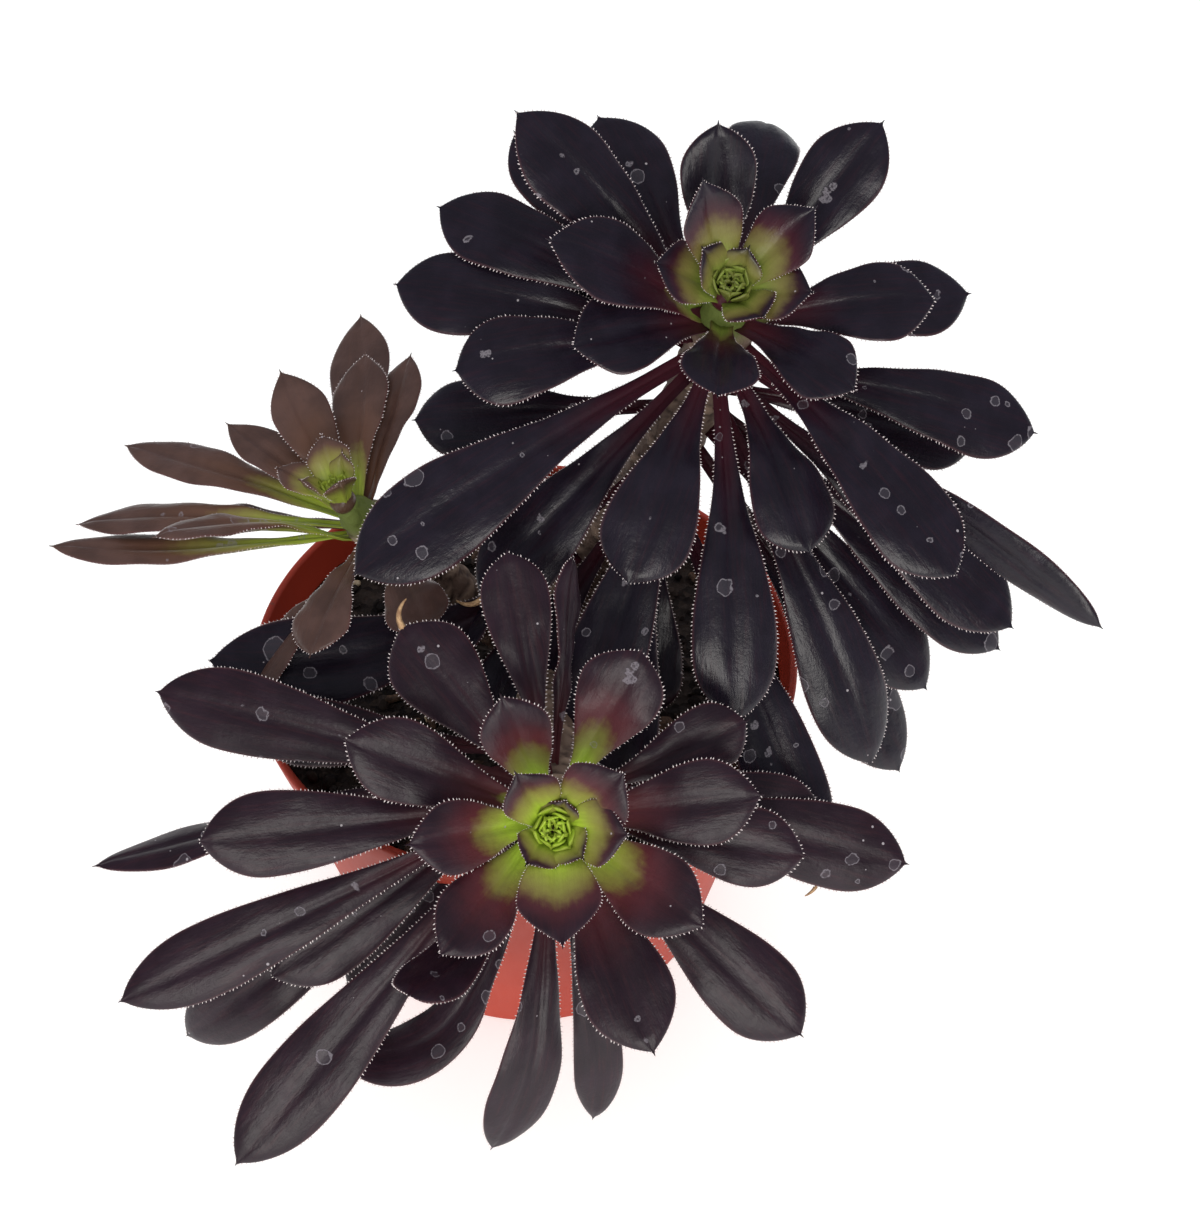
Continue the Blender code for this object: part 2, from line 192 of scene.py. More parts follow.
TOP_LEAVES = [
    (7, 172, 48, 71, 36, 17, dict(green=0.14)),
    (8, 202, 63, 82, 29, 17, dict(down=4.8)),
    (9, 262, 46, 62, 25, 15, dict(down=3.2, green=0.1)),
    (11, 2, 65, 88, 36, 17, dict(green=0.05, worn=0.3)),
    (12, 98, 41, 42, 35, 15, dict(point=0.5)),
    (13, 143, 60, 68, 52, 18),
    (14, 50, 52, 64, 44, 16),
    (15, 11, 85, 100, 46, 17),
    (16, 78, 84.5, 126, 54, 16, dict(hook=20)),
    (17, 118, 71, 100, 47, 18, dict(down=11)),
    (20, 171, 84, 100, 60, 18, dict(down=14.4)),
    (21, 192, 78, 102, 48, 18, dict(down=13)),
    (23, 215, 83, 108, 80, 20, dict(down=17)),
    (24, 228, 93, 116, 62, 17, dict(down=22, fold=0.5, dry=True)),
    (25, 251, 78, 110, 50, 18, dict(down=14)),
    (26, 274, 86, 116, 70, 17, dict(down=18, dry=True)),
    (28, 309, 68, 102, 63, 18, dict(down=11)),
    (29, 322, 91, 109, 77, 18, dict(down=20)),
    (30, 321, 79, 91, 88, 9.5, dict(down=15, twist=60)),
    (31, 348, 82, 100, 62, 17, dict(down=16, worn=0.6)),
    (33, 297, 92, 128, 83, 17, dict(down=25, worn=0.8)),
    (34, 308, 100, 126, 84, 17, dict(down=36, worn=0.8)),
    (38, 292, 89, 107, 85, 17, dict(down=46, worn=1.0, dry=True)),
    (40, 218, 80, 87, 82, 19, dict(down=69, side=-45, worn=1.0)),
    (10, 321, 60, 86, 27, 15, dict(down=4.6)),
    (18, 132, 82, 97, 56, 17, dict(down=13.5)),
    (19, 155, 80, 100, 57, 17, dict(down=13.2)),
    (22, 150, 88, 100, 44, 15, dict(down=17)),
    (27, 291, 76, 104, 42, 16, dict(down=15)),
    (32, 352, 90, 104, 54, 17, dict(down=22)),
    (35, 315, 96, 120, 73, 17, dict(down=31)),
    (36, 252, 93, 115, 72, 16, dict(down=27)),
    (37, 325, 98, 112, 79, 17, dict(down=27)),
    (41, 203, 75, 92, 62, 16, dict(down=80, worn=0.6)),
    (42, 262, 92, 112, 66, 16, dict(down=48)),
    (43, 184, 90, 98, 50, 17, dict(down=32, fold=0.8)),
    (44, 238, 96, 112, 58, 17, dict(down=56, worn=0.5)),
    (45, 222, 98, 116, 62, 12, dict(down=46, fold=0.8, twist=50)),
    (46, 267, 102, 124, 47, 17, dict(down=49)),
]
LEFT_LEAVES = [
    (6, 139, 60, 67, 34, 10, dict(green=0.25)),
    (7, 113, 39, 44, 31, 12, dict(green=0.30)),
    (8, 82, 60, 67, 35, 13, dict(green=0.25)),
    (10, 90, 71, 72, 54, 14, dict(down=7)),
    (11, 152, 72, 78, 58, 12, dict(green=0.34)),
    (13, 173, 72, 86, 60, 10.5, dict(down=7.5, green=0.40)),
    (14, 182, 82, 66, 64, 11, dict(down=10, green=0.55)),
    (15, 212, 43, 75, 42, 9.5, dict(green=0.50)),
    (16, 250, 92, 112, 30, 13),
    (9, 66, 60, 66, 34, 12, dict(down=6.5)),
    (12, 163, 82, 88, 50, 11, dict(down=9.5)),
    (17, 227, 97, 112, 44, 12, dict(down=12)),
    (18, 288, 98, 112, 26, 13, dict(down=14)),
]

# The small leaves round each growing tip, the youngest first: azimuth, leans, length and width.
FRONT_BUD = [
    (319, 25, 40, 11, 8),
    (70, 25, 40, 9, 8),
    (230, 28, 45, 11, 9),
    (0, 35, 60, 17, 12),
    (123, 32, 60, 17, 11),
    (275, 40, 60, 24, 15),
    (42, 40, 65, 20, 14),
]
TOP_BUD = [
    (62, 20, 30, 11, 9),
    (152, 20, 30, 14, 10),
    (303, 40, 50, 13, 11),
    (348, 50, 65, 17, 13),
    (175, 50, 60, 17, 13),
    (120, 30, 35, 25, 12.5),
    (38, 45, 55, 23, 13),
]
LEFT_BUD = [
    (60, 20, 30, 10, 7),
    (200, 25, 35, 10, 7),
    (300, 30, 40, 10, 7),
    (98, 25, 35, 14, 9),
    (157, 50, 60, 15, 9),
]


# ------------ leaf meshes


def columns(*parts):
    """Three arrays that broadcast together, as rows of three numbers."""
    return np.stack(np.broadcast_arrays(*parts), -1).reshape(-1, 3)


class Leaf:
    """One leaf: a curved midrib, and a channelled blade with a thin rounded margin."""

    def __init__(self, rosette, age, azimuth, lean_base, lean_tip, length, width, look=None):
        """Beyond the rows' words, look may have bare for no cilia, and seed for the draws."""
        look = look or {}
        self.rosette, self.age, self.azimuth = rosette, age, azimuth
        self.grown = age > OLDEST_YOUNG_LEAF
        self.lean_base, self.lean_tip = lean_base, lean_tip
        self.length, self.half_width = length * MM, width / 2 * MM
        self.fold = look.get("fold", 0.35)
        self.side = look.get("side", 0)
        self.twist = look.get("twist", 0)
        self.hook = look.get("hook", 0)
        self.swing = look.get("swing", 0)
        self.wave = look.get("wave", min(0.10 + 0.02 * age, 0.55)) * MM
        self.down = look["down"] * MM if "down" in look else rosette.pitch * age
        # With age a leaf is widest nearer its end, slimmer at its foot and blunter at its tip.
        self.peak = min(0.60 + 0.009 * age, 0.78)
        self.neck = look.get("neck", max(0.17, 0.50 - 0.022 * age))
        self.slender = min(0.85 + 0.04 * age, 1.6)
        self.point = look.get("point", max(0.35, 1.35 - 0.05 * age))
        self.bare = look.get("bare", False)
        self.dry = look.get("dry", False)
        self.green = look.get("green", 0.0)
        self.worn = look.get("worn", min(0.016 * age, 0.5))
        self.thickness = LEAF_THICKNESS if self.grown else 0.8 * LEAF_THICKNESS
        self.sink = 3 * MM if self.grown and age < 30 else 0.5 * MM
        seed = [len(rosette.name), ord(rosette.name[0]), look.get("seed", age)]
        self.chance = np.random.default_rng(seed)

    def start_on_branch(self):
        """The foot of the midrib, just clear of the bark."""
        centre, direction = self.rosette.along(self.down)
        radial = self.rosette.radial(self.azimuth)
        out = unit(radial - radial.dot(direction) * direction)
        wood = self.rosette.radius_at(self.down)
        edge_rise = 0.8 * MM + self.neck * self.half_width * self.fold
        return centre + out * (wood + edge_rise * abs(cos(radians(self.lean_base))))

    def midrib(self, start, shares):
        """Places, directions, up and side vectors at these shares of the length."""
        lean = self.lean_base + (self.lean_tip - self.lean_base) * shares**1.3
        lean = lean + self.hook * np.clip((shares - 0.65) / 0.35, 0, 1) ** 1.5
        turn_end = self.swing * np.clip((shares - 0.55) / 0.45, 0, 1) ** 1.3
        radial = self.rosette.radial(self.azimuth + self.side * shares**1.5 + turn_end)
        lean = np.radians(lean)[:, None]
        direction = np.cos(lean) * self.rosette.axis + np.sin(lean) * radial
        steps = np.diff(shares)[:, None] * self.length
        run = np.cumsum((direction[1:] + direction[:-1]) / 2 * steps, 0)
        places = start + np.vstack([np.zeros(3), run])
        up = unit(self.rosette.axis - (direction @ self.rosette.axis)[:, None] * direction)
        side = np.cross(direction, up)
        turn = np.radians(self.twist * np.clip((shares - 0.1) / 0.5, 0, 1))[:, None]
        turned_up = np.cos(turn) * up + np.sin(turn) * side
        turned_side = np.cos(turn) * side - np.sin(turn) * up
        return places, direction, turned_up, turned_side

    def half_widths(self, shares):
        """From a narrow neck out to the peak, then round to the end, with its short point."""
        rise = np.clip(shares / self.peak, 0, 1)
        swell = (rise * rise * (3 - 2 * rise)) ** self.slender
        spike = POINT_LENGTH / self.length
        fall = np.clip((shares - self.peak) / (1 - 0.6 * spike - self.peak), 0, 1)
        round_end = (1 - fall ** (2.6 - 0.7 * self.point)) ** (0.68 + 0.32 * self.point)
        blade = self.half_width * (self.neck + (1 - self.neck) * swell) * round_end
        point = POINT_HALF_WIDTH * np.clip((1 - shares) / (2 * spike), 0, 1) * (shares > 0.5)
        return np.hypot(blade, point) + 0.05 * MM

    def relief(self, across, shares, half):
        """How far the blade's middle surface stands off the midrib's plane."""
        edge = np.abs(across) ** 1.6
        age_share = min(self.age / 20, 1)
        channel = half * self.fold * (1 - (0.75 + 0.75 * age_share) * shares) * edge
        arch = np.sin(pi * np.clip(shares, 0, 1))
        groove = -0.45 * MM * np.exp(-((across / 0.16) ** 2)) * arch**0.5
        bulge = 0.06 * half * np.sin(pi * np.abs(across) ** 0.8) * arch
        phase = self.chance.uniform(0, 2 * pi, 4)
        long_wave = np.sin(2 * pi * 2.3 * shares + phase[0] + 1.6 * np.sign(across))
        short_wave = np.sin(2 * pi * 4.7 * shares + phase[1] + 2.1 * np.sign(across))
        ripple = (long_wave + 0.6 * short_wave) * np.abs(across) ** 2.2
        swell = np.sin(2 * pi * 1.1 * shares + phase[2] + 1.5 * across)
        return channel + groove + bulge + self.wave * arch**0.8 * (ripple + 0.7 * swell)

    def mesh(self, name, start):
        """The closed blade, its cilia, and the attributes that its material reads."""
        shares = 1 - (1 - np.linspace(0, 1, ALONG + 1)) ** 1.25
        across = np.sin(np.linspace(-1, 1, ACROSS + 1) * pi / 2)
        places, direction, up, side = self.midrib(start, shares)
        places[0] -= self.sink * unit(direction[1] + 0.6 * self.rosette.radial(self.azimuth))
        half = self.half_widths(shares)
        lift = self.relief(across[None, :], shares[:, None], half[:, None])
        taper = np.clip(half / (0.5 * self.half_width), 0.12, 1)[:, None]
        body = self.thickness / 2 * taper * np.sqrt(np.clip(1 - np.abs(across) ** 3.0, 0, 1))[None, :]
        middle = places[:, None] + (half[:, None] * across)[..., None] * side[:, None]
        upper = middle + (lift + body)[..., None] * up[:, None]
        lower = middle + (lift - body)[..., None] * up[:, None]
        rings = np.concatenate([upper, lower[:, -2:0:-1]], axis=1)
        around = rings.shape[1]
        ring_across = np.concatenate([across, across[-2:0:-1]])
        on_top = np.concatenate([np.ones(ACROSS + 1), np.zeros(ACROSS - 1)])
        on_top[[0, ACROSS]] = 0.5
        points = rings.reshape(-1, 3)
        # blade: the share across and along, and whether on top. skin: a flat map in mm, and a
        # number that sets each leaf's marks apart.
        blade = columns(ring_across[None, :], shares[:, None], on_top[None, :])
        skin_across, skin_along = half[:, None] * ring_across / MM, shares[:, None] * self.length / MM
        skin = columns(skin_across, skin_along, 7.3 * self.age)
        lower_row, column = np.meshgrid(np.arange(ALONG), np.arange(around), indexing="ij")
        after = (column + 1) % around
        quads = np.stack(
            [lower_row, lower_row, lower_row + 1, lower_row + 1], -1
        ) * around + np.stack([column, after, after, column], -1)
        faces = [tuple(quad) for quad in quads.reshape(-1, 4).tolist()]
        last = ALONG * around
        faces.append(tuple(range(around))[::-1])
        faces.append(tuple(last + i for i in range(around)))
        hairs = [] if self.bare else self.cilia(upper, side, up)
        blade_faces = len(faces)
        first = len(points)
        for hair_points, hair_faces in hairs:
            faces += [tuple(first + i for i in face) for face in hair_faces]
            first += len(hair_points)
        if hairs:
            hair_points = np.concatenate([hair[0] for hair in hairs])
            points = np.concatenate([points, hair_points])
            blade = np.concatenate([blade, np.zeros_like(hair_points)])
            skin = np.concatenate([skin, np.zeros_like(hair_points)])
        mesh = bpy.data.meshes.new(name)
        mesh.from_pydata(points.tolist(), [], faces)
        tone = np.tile([self.green, self.worn, 0.0], (len(points), 1))
        for word, values in (("blade", blade), ("skin", skin), ("tone", tone)):
            layer = mesh.attributes.new(word, "FLOAT_VECTOR", "POINT")
            layer.data.foreach_set("vector", values.astype(np.float32).ravel())
        slots = np.zeros(len(faces), np.int32)
        slots[blade_faces:] = 1
        mesh.polygons.foreach_set("material_index", slots)
        mesh.polygons.foreach_set("use_smooth", np.ones(len(faces), bool))
        mesh.update()
        return mesh

    def cilia(self, upper, side, up):
        """Short stiff hairs along both margins, each a slim four-sided cone."""
        hairs = []
        spacing = CILIA_SPACING if self.grown else 0.8 * CILIA_SPACING
        for margin, outward in ((upper[:, 0], -1), (upper[:, -1], 1)):
            run = np.concatenate([[0], np.cumsum(np.linalg.norm(np.diff(margin, axis=0), axis=1))])
            places = np.arange(0.18 * run[-1], run[-1] - 0.8 * spacing, spacing)
            places = places + self.chance.uniform(-0.22, 0.22, len(places)) * spacing
            at = np.interp(places, run, np.arange(len(run)))
            row = np.minimum(at.astype(int), len(run) - 2)
            blend = (at - row)[:, None]
            foot = margin[row] * (1 - blend) + margin[row + 1] * blend
            along = unit(margin[row + 1] - margin[row])
            away = outward * side[row]
            away = unit(away - (away * along).sum(1)[:, None] * along)
            lean = self.chance.uniform(0.05, 0.6, len(places))[:, None]
            rise = self.chance.uniform(-0.25, 0.45, len(places))[:, None]
            axis = unit(away + lean * along + rise * up[row])
            first = unit(np.cross(axis, up[row]))
            second = np.cross(axis, first)
            size = self.chance.uniform(0.65, 1.15, len(places))[:, None]
            size = size * (1.0 if self.grown else 0.75)
            foot = foot - axis * 0.12 * MM
            for i in range(len(places)):
                radius = CILIA_RADIUS * size[i]
                around = [first[i], second[i], -first[i], -second[i]]
                middle = foot[i] + axis[i] * CILIA_LENGTH * size[i] * 0.55
                ring = [foot[i] + radius * spoke for spoke in around]
                belt = [middle + radius * 0.85 * spoke for spoke in around]
                tip = foot[i] + axis[i] * CILIA_LENGTH * size[i]
                walls = [(k, (k + 1) % 4, 4 + (k + 1) % 4, 4 + k) for k in range(4)]
                cap = [(4 + k, 4 + (k + 1) % 4, 8) for k in range(4)]
                hairs.append((np.array(ring + belt + [tip]), walls + cap + [(3, 2, 1, 0)]))
        return hairs


# ------------ materials


class Nodes:
    """Short ways to build one material's node tree. Socket values may be numbers or links."""

    def __init__(self, name):
        self.material = bpy.data.materials.new(name)
        self.material.use_nodes = True
        self.tree = self.material.node_tree
        self.shader = self.tree.nodes["Principled BSDF"]

    def put(self, socket, value):
        if isinstance(value, bpy.types.NodeSocket):
            self.tree.links.new(value, socket)
        elif isinstance(value, tuple) and socket.type == "RGBA":
            socket.default_value = (*value, 1.0)[:4]
        else:
            socket.default_value = value

    def add(self, kind, inputs, **settings):
        node = self.tree.nodes.new("ShaderNode" + kind)
        for word, value in settings.items():
            setattr(node, word, value)
        for socket, value in inputs.items():
            self.put(node.inputs[socket], value)
        return node

    def attribute(self, name):
        return self.add("Attribute", {}, attribute_name=name).outputs["Vector"]

    def parts(self, vector):
        """The vector's three numbers."""
        return self.add("SeparateXYZ", {"Vector": vector}).outputs

    def place(self):
        return self.add("TexCoord", {}).outputs["Object"]

    def math(self, operation, first, second=0.0):
        return self.add("Math", {0: first, 1: second}, operation=operation).outputs[0]

    def plus(self, first, second):
        return self.math("ADD", first, second)

    def minus(self, first, second):
        return self.math("SUBTRACT", first, second)

    def times(self, first, second):
        return self.math("MULTIPLY", first, second)

    def step(self, value, low, high):
        """A smooth step from 0 at low to 1 at high."""
        inputs = {"Value": value, "From Min": low, "From Max": high}
        node = self.add("MapRange", inputs, interpolation_type="SMOOTHSTEP")
        return node.outputs["Result"]

    def mix(self, share, first, second):
        """The first colour where share is 0, the second where it is 1."""
        node = self.add("Mix", {}, data_type="RGBA")
        for socket, value in ((0, share), (6, first), (7, second)):
            self.put(node.inputs[socket], value)
        return node.outputs[2]

    def scaled(self, vector, scale):
        inputs = {"Vector": vector, "Scale": scale}
        return self.add("Mapping", inputs, vector_type="POINT").outputs["Vector"]

    def noise(self, vector, scale, detail=3.0, roughness=0.55):
        inputs = {"Vector": vector, "Scale": scale, "Detail": detail, "Roughness": roughness}
        return self.add("TexNoise", inputs).outputs["Fac"]

    def cells(self, vector, scale):
        """Distance to the nearest of scattered points, and random numbers for its cell."""
        inputs = {"Vector": vector, "Scale": scale}
        node = self.add("TexVoronoi", inputs, voronoi_dimensions="3D", feature="F1")
        parts = self.add("SeparateColor", {"Color": node.outputs["Color"]})
        return node.outputs["Distance"], parts.outputs

    def bump(self, height, distance, strength, normal=None):
        inputs = {"Height": height, "Distance": distance, "Strength": strength}
        if normal is not None:
            inputs["Normal"] = normal
        return self.add("Bump", inputs).outputs["Normal"]

    def finish(self, **sockets):
        for word, value in sockets.items():
            self.put(self.shader.inputs[word.replace("_", " ").title().replace("Ior", "IOR")], value)
        return self.material


def leaf_material(name, end, middle, underside, heart, rough):
    """Waxy leaf skin: green at the heart, red-brown, then near black, with dried water marks."""
    n = Nodes(name)
    across, along, on_top = n.parts(n.attribute("blade"))
    skin = n.attribute("skin")
    green, worn, _ = n.parts(n.attribute("tone"))
    edge = n.math("ABSOLUTE", across)
    clouds = n.noise(skin, 0.16, 3.0)
    blotches = n.noise(skin, 0.55, 4.0, 0.6)
    streaks = n.noise(n.scaled(skin, (1.5, 0.11, 1.0)), 1.0, 4.0, 0.65)
    wrinkles = n.noise(n.scaled(skin, (0.50, 0.13, 1.0)), 1.0, 4.0, 0.6)
    grain = n.noise(skin, 3.2, 2.0)
    # The colour runs from the heart outwards, sooner along the midrib than at the margins.
    reach = n.plus(along, n.times(n.math("POWER", edge, 2.0), 0.16))
    reach = n.plus(reach, n.times(n.minus(blotches, 0.5), 0.10))
    reach = n.plus(reach, n.times(n.minus(streaks, 0.5), 0.08))
    leafy = n.minus(1.0, n.step(reach, n.times(green, 0.45), n.plus(green, 0.12)))
    leafy = n.times(leafy, n.step(green, 0.01, 0.06))
    flush = n.minus(1.0, n.step(reach, n.plus(green, 0.02), n.plus(green, 0.50)))
    flush = n.times(flush, n.minus(1.0, n.step(reach, 0.55, 1.0)))
    dark = n.mix(n.step(clouds, 0.35, 0.7), end, tuple(1.45 * c for c in end))
    dark = n.mix(n.times(n.step(streaks, 0.45, 0.75), 0.14), dark, middle)
    colour = n.mix(n.times(flush, 0.85), dark, middle)
    fresh = n.mix(n.step(streaks, 0.3, 0.75), heart, tuple(1.4 * c for c in heart))
    colour = n.mix(leafy, colour, fresh)
    fading = n.times(n.times(leafy, n.minus(1.0, leafy)), 1.5)
    colour = n.mix(fading, colour, STRAW)
    below = n.mix(n.step(streaks, 0.35, 0.7), underside, tuple(0.6 * c for c in underside))
    below = n.mix(n.times(leafy, 0.7), below, fresh)
    colour = n.mix(n.step(on_top, 0.35, 0.65), below, colour)
    rim = n.times(n.step(edge, 0.93, 0.995), 0.32)
    rim = n.times(rim, n.minus(1.0, n.times(leafy, 0.85)))
    colour = n.mix(rim, colour, RIM)
    # Dried drops: thin pale outlines, some with a milky inside, and small white specks.
    line, inside = water_marks(n, skin, worn, 0.115, 0.75)
    fine_line, fine_inside = water_marks(n, skin, worn, 0.21, 0.60)
    line = n.times(n.math("MAXIMUM", line, fine_line), n.step(grain, 0.30, 0.5))
    inside = n.math("MAXIMUM", inside, fine_inside)
    speck_at, speck_chances = n.cells(skin, 0.34)
    speck_size = n.plus(0.03, n.times(speck_chances[1], 0.05))
    speck = n.minus(1.0, n.step(speck_at, speck_size, n.plus(speck_size, 0.03)))
    few = n.plus(0.10, n.times(worn, 0.25))
    speck = n.times(speck, n.step(n.minus(few, speck_chances[0]), 0.0, 0.02))
    colour = n.mix(n.times(inside, 0.10), colour, MARK_INSIDE)
    colour = n.mix(n.times(line, 0.42), colour, MARK_LINE)
    colour = n.mix(n.times(speck, 0.7), colour, SPECK)
    rough = n.plus(rough, n.times(n.minus(blotches, 0.5), 0.16))
    rough = n.plus(rough, n.times(n.math("MAXIMUM", line, speck), 0.3))
    rough = n.plus(rough, n.times(leafy, 0.10))
    normal = n.bump(wrinkles, 0.7 * MM, 0.30)
    normal = n.bump(blotches, 0.30 * MM, 0.30, normal)
    normal = n.bump(grain, 0.05 * MM, 0.5, normal)
    normal = n.bump(line, 0.06 * MM, 0.6, normal)
    return n.finish(base_color=colour, roughness=rough, normal=normal, ior=1.40)


def water_marks(n, skin, worn, scale, share):
    """Wobbly dried-drop outlines about one to a cell, and their insides."""
    wobble = n.add("TexNoise", {"Vector": skin, "Scale": 2.6 * scale, "Detail": 3.0}).outputs["Color"]
    wobble = n.add("VectorMath", {0: wobble, 1: (0.5, 0.5, 0.5)}, operation="SUBTRACT").outputs[0]
    wobble = n.add("VectorMath", {0: wobble, "Scale": 0.27 / scale}, operation="SCALE").outputs[0]
    bent = n.add("VectorMath", {0: skin, 1: wobble}, operation="ADD").outputs[0]
    distance, chances = n.cells(bent, scale)
    size = n.plus(0.04, n.times(chances[1], 0.24))
    off = n.math("ABSOLUTE", n.minus(distance, size))
    line = n.minus(1.0, n.step(off, 0.05 * scale, 0.16 * scale))
    present = n.step(n.minus(n.times(worn, share), chances[0]), 0.0, 0.02)
    inside = n.minus(1.0, n.step(distance, size, n.plus(size, 0.02)))
    return n.times(line, present), n.times(inside, present)


def cilia_material():
    n = Nodes("cilia")
    pale = n.mix(n.noise(n.place(), 900.0), (0.58, 0.47, 0.47), (0.86, 0.80, 0.78))
    return n.finish(base_color=pale, roughness=0.5)


def plastic_material():
    """Matt injection-moulded plastic with a faint orange peel, scuffs and splashes of soil."""
    n = Nodes("red_plastic")
    place = n.place()
    cloud = n.noise(place, 28.0, 4.0)
    scuff = n.noise(n.scaled(place, (1.0, 1.0, 0.15)), 420.0, 5.0, 0.7)
    colour = n.mix(n.step(cloud, 0.3, 0.7), srgb(168, 48, 22), srgb(156, 42, 19))
    colour = n.mix(n.times(n.step(scuff, 0.62, 0.78), 0.22), colour, srgb(214, 120, 98))
    dust, chances = n.cells(place, 260.0)
    spot = n.times(n.minus(1.0, n.step(dust, 0.10, 0.2)), n.step(chances[0], 0.93, 0.95))
    colour = n.mix(n.times(spot, 0.6), colour, (0.10, 0.05, 0.035))
    rough = n.plus(0.55, n.times(scuff, 0.2))
    normal = n.bump(n.noise(place, 1500.0, 2.0), 0.05 * MM, 0.3)
    normal = n.bump(scuff, 0.05 * MM, 0.4, normal)
    return n.finish(base_color=colour, roughness=rough, normal=normal)


def soil_material():
    n = Nodes("potting_soil")
    place = n.place()
    crumbs, chances = n.cells(place, 520.0)
    colour = n.mix(chances[0], (0.006, 0.004, 0.004), (0.032, 0.021, 0.016))
    fibre = n.noise(n.scaled(place, (1.0, 3.0, 1.0)), 380.0, 6.0, 0.7)
    colour = n.mix(n.times(n.step(fibre, 0.6, 0.75), 0.6), colour, (0.07, 0.042, 0.026))
    normal = n.bump(crumbs, 1.2 * MM, 0.8)
    normal = n.bump(fibre, 0.5 * MM, 0.7, normal)
    return n.finish(base_color=colour, roughness=0.93, normal=normal)


def grain_material(name, light, dark):
    """Finely mottled dry stuff: chips, grains and dried leaf ends."""
    n = Nodes(name)
    pattern = n.noise(n.place(), 900.0, 4.0, 0.65)
    colour = n.mix(n.step(pattern, 0.35, 0.7), dark, light)
    normal = n.bump(pattern, 0.3 * MM, 0.6)
    return n.finish(base_color=colour, roughness=0.85, normal=normal)


def bark_material():
    """Grey-brown bark, ringed by leaf scars, and green on the youngest wood."""
    n = Nodes("bark")
    place = n.place()
    clouds = n.noise(place, 90.0, 4.0)
    fissures = n.noise(n.scaled(place, (1.0, 1.0, 0.35)), 420.0, 6.0, 0.7)
    colour = n.mix(n.step(clouds, 0.3, 0.7), (0.095, 0.055, 0.038), (0.20, 0.135, 0.10))
    colour = n.mix(n.times(n.step(fissures, 0.55, 0.7), 0.7), colour, (0.035, 0.020, 0.016))
    face, seam, youth = n.parts(n.attribute("scar"))
    colour = n.mix(n.times(face, 0.75), colour, (0.30, 0.21, 0.15))
    colour = n.mix(n.times(seam, 0.8), colour, (0.030, 0.016, 0.012))
    colour = n.mix(n.step(youth, 0.0, 0.6), colour, (0.10, 0.13, 0.02))
    normal = n.bump(fissures, 0.5 * MM, 0.7)
    normal = n.bump(n.noise(place, 1800.0, 3.0), 0.1 * MM, 0.6, normal)
    return n.finish(base_color=colour, roughness=0.8, normal=normal)


def floor_material():
    n = Nodes("paper_floor")
    colour = n.mix(n.noise(n.place(), 2.0, 2.0), (0.80, 0.81, 0.79), (0.82, 0.83, 0.80))
    glow = dict(emission_color=(1.0, 0.99, 0.98), emission_strength=0.38)
    return n.finish(base_color=colour, roughness=0.9, **glow)


LEAF_LOOKS = {
    "top": dict(
        name="dark_leaf", end=(0.0075, 0.0052, 0.0100), middle=(0.060, 0.009, 0.016),
        underside=(0.070, 0.012, 0.020), heart=(0.15, 0.19, 0.03), rough=0.33,
    ),
    "front": dict(
        name="wine_leaf", end=(0.0120, 0.0046, 0.0092), middle=(0.096, 0.017, 0.022),
        underside=(0.075, 0.014, 0.020), heart=(0.29, 0.41, 0.028), rough=0.43,
    ),
    "left": dict(
        name="olive_leaf", end=(0.060, 0.032, 0.026), middle=(0.115, 0.052, 0.030),
        underside=(0.085, 0.045, 0.028), heart=(0.24, 0.30, 0.03), rough=0.33,
    ),
}
MATERIALS = {rosette: leaf_material(**look) for rosette, look in LEAF_LOOKS.items()}
CILIA = cilia_material()
DRY = grain_material("dry_leaf", (0.52, 0.33, 0.17), (0.26, 0.14, 0.07))
BARK = bark_material()


# ------------ pieces


def place(name, mesh, slot, *materials):
    """Adds a piece to the scene, riding on the frame."""
    for material in materials:
        mesh.materials.append(material)
    item = bpy.data.objects.new(name, mesh)
    bpy.context.scene.collection.objects.link(item)
    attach(item, "root")
    return item


def grow_leaves(rosette, rows):
    """Every listed leaf, in place of its CAD solid where it has one."""
    for row in rows:
        leaf = Leaf(rosette, *row)
        node = f"{rosette.name}_leaf_{leaf.age:02d}"
        mesh = leaf.mesh(node + "_blade", leaf.start_on_branch())
        slot = LEAF_LOOKS[rosette.name]["name"]
        item = place(node + "_blade", mesh, slot, MATERIALS[rosette.name], CILIA)
        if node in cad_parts:
            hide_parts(node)
        if leaf.dry:
            place(node + "_dry_tip", dry_tip(leaf, node + "_dry_tip"), "bark", DRY)


def dry_tip(leaf, name):
    """A shrivelled tan end: a thin strip that curls off the leaf's tip."""
    shares = np.linspace(0, 1, 9)
    places, direction, up, side = leaf.midrib(leaf.start_on_branch(), shares)
    tip, onward, lift, across = places[-1], direction[-1], up[-1], side[-1]
    rows = []
    for step in range(DRY_STEPS + 1):
        share = step / DRY_STEPS
        bend = DRY_CURL * share
        heading = onward * cos(bend / 2) + across * sin(bend / 2)
        centre = tip - onward * 1.5 * MM + DRY_LENGTH * share * heading
        centre = centre + lift * 0.9 * MM * sin(pi * share)
        half = 0.65 * MM * (1 - share) ** 0.7 + 0.10 * MM
        flat = across * cos(bend) - onward * sin(bend)
        thick = lift * 0.14 * MM
        rows.append([centre + flat * half, centre + thick, centre - flat * half, centre - thick])
    faces = [
        (4 * row + k, 4 * row + (k + 1) % 4, 4 * row + 4 + (k + 1) % 4, 4 * row + 4 + k)
        for row in range(DRY_STEPS)
        for k in range(4)
    ]
    faces += [(3, 2, 1, 0), tuple(4 * DRY_STEPS + k for k in range(4))]
    mesh = bpy.data.meshes.new(name)
    mesh.from_pydata([tuple(point) for row in rows for point in row], [], faces)
    mesh.shade_smooth()
    return mesh


